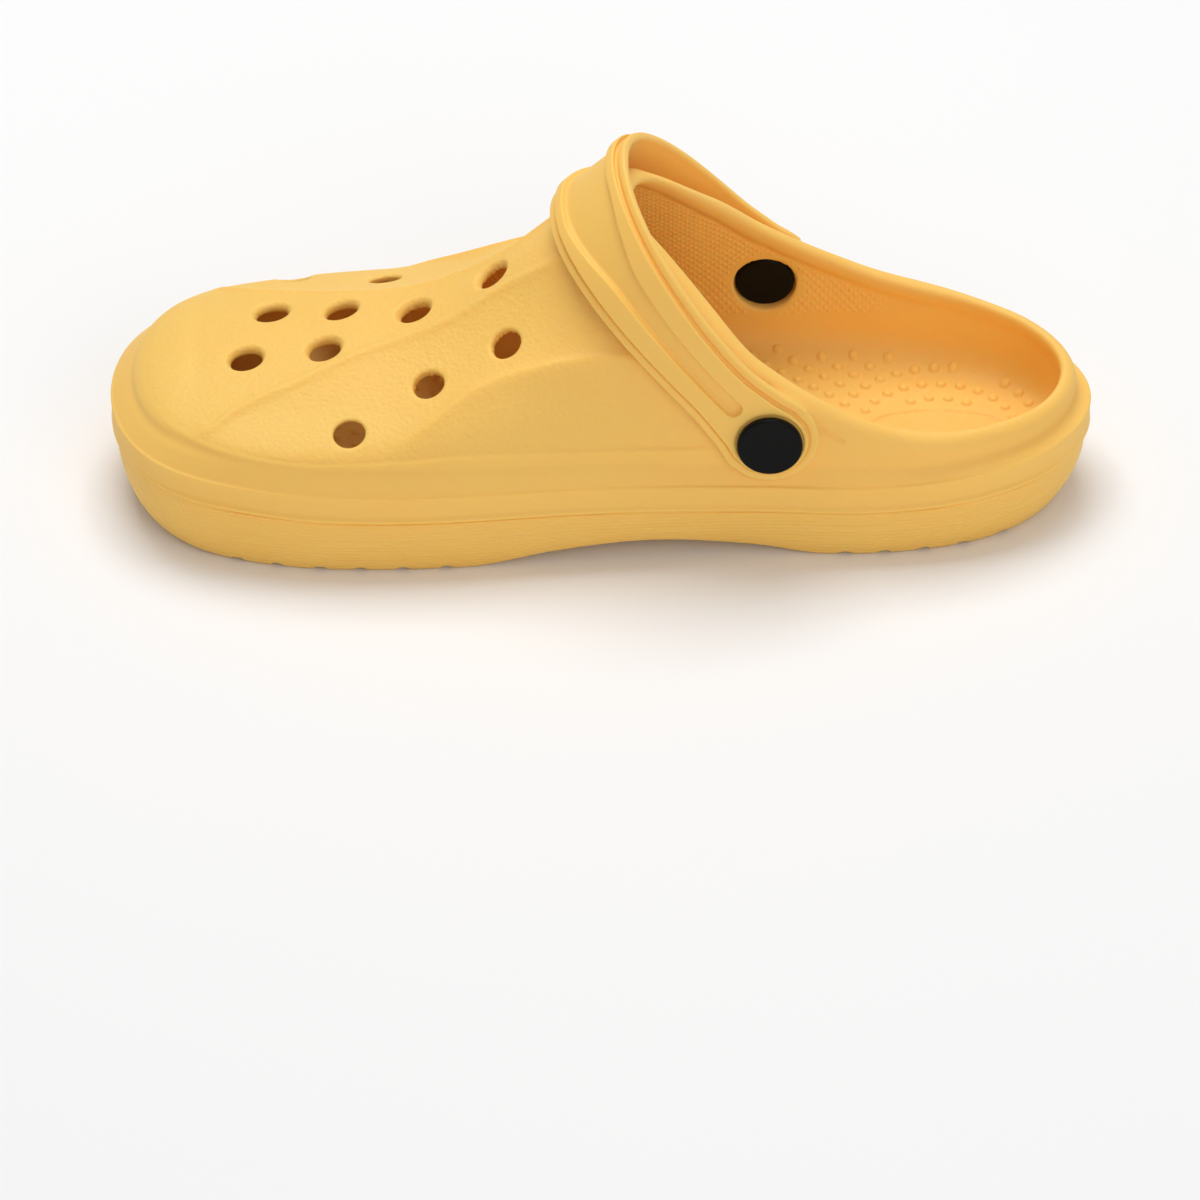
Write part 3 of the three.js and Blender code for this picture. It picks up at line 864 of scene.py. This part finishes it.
def make_rivet(which, side):
    """The outer button with its stepped shank and peg, and the inner disc with its socket."""
    under_head = STRAP_OUTER + GAP
    stud = disc_profile(stud_hi[1], under_head, DISC, 1)
    stud += [(4.6, under_head), (4.6, SEAT_Y + 0.1), (3.5, SEAT_Y), (3.5, SEAT_Y - 1.6), (1.9, SEAT_Y - 1.7)]
    stud += [(1.9, CAP_SEAT - 1), (0, CAP_SEAT - 1)]
    cap = disc_profile(cap_lo[1], CAP_SEAT - GAP, INNER_DISC, -1)
    cap += [(3.5, CAP_SEAT - GAP), (3.5, SEAT_Y - 1.9), (2.2, SEAT_Y - 1.9)]
    cap += [(2.2, CAP_SEAT - 1.3), (0, CAP_SEAT - 1.3)]
    outer = turned("rivet_button_" + which, stud, side)
    inner = turned("rivet_disc_" + which, cap, side, tilt=CAP_TILT)
    return outer, inner


# ---- Materials -------------------------------------------------------------------------------------
def srgb(r, g, b):
    """A colour given as it looks on a screen, from 0 to 255."""
    lin = [((c / 255 + 0.055) / 1.055) ** 2.4 if c > 10 else c / 255 / 12.92 for c in (r, g, b)]
    return (*lin, 1)


def nodes_of(name):
    """A new material, its tree and shader, and a function that adds a node with its settings and inputs."""
    material = bpy.data.materials.new(name)
    material.use_nodes = True
    tree = material.node_tree
    shader = tree.nodes["Principled BSDF"]

    def add(kind, **values):
        node = tree.nodes.new(kind)
        for key, value in values.items():
            if hasattr(node, key):
                setattr(node, key, value)
            else:
                node.inputs[key.replace("_", " ").title()].default_value = value
        return node

    return material, tree, shader, add


def foam(name, masks):
    """Matte moulded EVA: faint mottling, fine skin, and grain, knurl and sole lines where the masks say.

    The reliefs' heights are in metres.
    """
    material, tree, shader, add = nodes_of(name)
    link = tree.links.new
    place = add("ShaderNodeTexCoord").outputs["Object"]

    mottle = add("ShaderNodeTexNoise", Scale=28.0, Detail=3.0)
    link(place, mottle.inputs["Vector"])
    tone = add("ShaderNodeMixRGB")
    tone.inputs["Color1"].default_value = srgb(247, 194, 93)
    tone.inputs["Color2"].default_value = srgb(250, 201, 103)
    link(mottle.outputs["Fac"], tone.inputs["Fac"])
    link(tone.outputs["Color"], shader.inputs["Base Color"])

    def mask(key):
        node = add("ShaderNodeAttribute", attribute_name=key)
        return node.outputs["Fac"]

    def times(a, b):
        node = add("ShaderNodeMath", operation="MULTIPLY")
        for socket, value in zip(node.inputs, (a, b)):
            if isinstance(value, (int, float)):
                socket.default_value = value
            else:
                link(value, socket)
        return node.outputs[0]

    def plus(a, b):
        node = add("ShaderNodeMath", operation="ADD")
        link(a, node.inputs[0])
        link(b, node.inputs[1])
        return node.outputs[0]

    skin = add("ShaderNodeTexNoise", Scale=900.0, Detail=4.0)
    link(place, skin.inputs["Vector"])
    relief = times(skin.outputs["Fac"], 0.00006)

    if masks:
        leather = add("ShaderNodeTexVoronoi", Scale=820.0)
        leather.feature = "SMOOTH_F1"
        leather.inputs["Smoothness"].default_value = 0.7
        link(place, leather.inputs["Vector"])
        wear = add("ShaderNodeTexNoise", Scale=450.0, Detail=5.0)
        link(place, wear.inputs["Vector"])
        grain = plus(times(leather.outputs["Distance"], 0.00014), times(wear.outputs["Fac"], 0.00019))
        relief = plus(relief, times(grain, mask("grain")))

        relief = plus(relief, times(times(leather.outputs["Distance"], 0.00008), mask("knurl")))

        split = add("ShaderNodeSeparateXYZ")
        link(place, split.inputs[0])
        lines = add("ShaderNodeMath", operation="SINE")
        link(times(split.outputs["Z"], 5200.0), lines.inputs[0])
        relief = plus(relief, times(times(lines.outputs[0], 0.00006), mask("sole")))

    bumped = add("ShaderNodeBump", Strength=1.0, Distance=1.0)
    link(relief, bumped.inputs["Height"])
    link(bumped.outputs["Normal"], shader.inputs["Normal"])

    rough = add("ShaderNodeMapRange")
    link(mottle.outputs["Fac"], rough.inputs["Value"])
    rough.inputs["To Min"].default_value = 0.52
    rough.inputs["To Max"].default_value = 0.66
    link(rough.outputs["Result"], shader.inputs["Roughness"])
    shader.inputs["Specular IOR Level"].default_value = 0.45
    shader.inputs["Subsurface Weight"].default_value = 0.35
    shader.inputs["Subsurface Radius"].default_value = (0.0045, 0.0018, 0.0005)
    shader.inputs["Subsurface Scale"].default_value = 1.0
    return material


def button():
    """Black moulded plastic with a satin face."""
    material, tree, shader, add = nodes_of("rivet_plastic")
    link = tree.links.new
    place = add("ShaderNodeTexCoord").outputs["Object"]
    noise = add("ShaderNodeTexNoise", Scale=420.0, Detail=4.0)
    link(place, noise.inputs["Vector"])
    tone = add("ShaderNodeMixRGB")
    tone.inputs["Color1"].default_value = srgb(7, 7, 7)
    tone.inputs["Color2"].default_value = srgb(13, 13, 13)
    link(noise.outputs["Fac"], tone.inputs["Fac"])
    link(tone.outputs["Color"], shader.inputs["Base Color"])
    shader.inputs["Specular IOR Level"].default_value = 0.1
    rough = add("ShaderNodeMapRange")
    link(noise.outputs["Fac"], rough.inputs["Value"])
    rough.inputs["To Min"].default_value = 0.30
    rough.inputs["To Max"].default_value = 0.42
    link(rough.outputs["Result"], shader.inputs["Roughness"])
    bumped = add("ShaderNodeBump", Strength=1.0, Distance=1.0)
    scaled = add("ShaderNodeMath", operation="MULTIPLY")
    scaled.inputs[1].default_value = 0.00003
    link(noise.outputs["Fac"], scaled.inputs[0])
    link(scaled.outputs[0], bumped.inputs["Height"])
    link(bumped.outputs["Normal"], shader.inputs["Normal"])
    return material


body = make_body()
body.data.materials.append(foam("body_eva", masks=True))
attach(body, "clog")
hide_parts("clog_body")

strap = make_strap()
strap.data.materials.append(foam("strap_eva", masks=False))
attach(strap, "strap")
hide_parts("heel_strap")

black = button()
for which, side in (("lateral", 1), ("medial", -1)):
    outer, inner = make_rivet(which, side)
    for piece, node in ((outer, "rivet_stud_" + which), (inner, "rivet_cap_" + which)):
        piece.data.materials.append(black)
        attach(piece, "clog")
        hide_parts(node)


# ---- Floor, light and camera -----------------------------------------------------------------------
def pale_floor():
    """A plain matte floor."""
    mesh = bpy.data.meshes.new("floor")
    mesh.from_pydata([(-3, -3, 0), (3, -3, 0), (3, 3, 0), (-3, 3, 0)], [], [(0, 1, 2, 3)])
    floor = bpy.data.objects.new("floor", mesh)
    bpy.context.scene.collection.objects.link(floor)
    material, _, shader, _ = nodes_of("pale_floor")
    shader.inputs["Base Color"].default_value = (0.9, 0.9, 0.9, 1)
    shader.inputs["Roughness"].default_value = 0.9
    mesh.materials.append(material)


def area_light(name, place, size, power):
    """A square soft light aimed at the clog."""
    data = bpy.data.lights.new(name, "AREA")
    data.size = size
    data.energy = power
    light = bpy.data.objects.new(name, data)
    light.location = place
    light.rotation_euler = (-Vector(place)).to_track_quat("-Z", "Y").to_euler()
    bpy.context.scene.collection.objects.link(light)


pale_floor()
area_light("key", place=(0.1, -0.45, 1.5), size=1.0, power=16)
area_light("fill", place=(-0.5, 1.4, 0.8), size=1.2, power=6.5)
world = bpy.data.worlds.new("studio")
world.use_nodes = True
world.node_tree.nodes["Background"].inputs["Color"].default_value = (1, 1, 1, 1)
world.node_tree.nodes["Background"].inputs["Strength"].default_value = 0.43
bpy.context.scene.world = world


def camera():
    """Side view from the clog's outer side, from 35 degrees above the floor, through a long lens."""
    elevation = math.radians(35)
    distance = 2.2
    back = Vector((0, math.cos(elevation), math.sin(elevation)))
    up = Vector((0, -math.sin(elevation), math.cos(elevation)))
    target = up * -0.0355 + Vector((0.0003, 0, 0))
    data = bpy.data.cameras.new("camera")
    data.sensor_width = 36
    view_width = 1.2 / 3.5345  # metres across the picture at the clog
    data.lens = data.sensor_width * distance / view_width
    cam = bpy.data.objects.new("camera", data)
    cam.location = back * distance
    cam.rotation_euler = (target - cam.location).to_track_quat("-Z", "Y").to_euler()
    data.clip_start, data.clip_end = 0.05, 20
    bpy.context.scene.collection.objects.link(cam)
    bpy.context.scene.camera = cam


camera()
bpy.context.scene.view_settings.view_transform = "Standard"
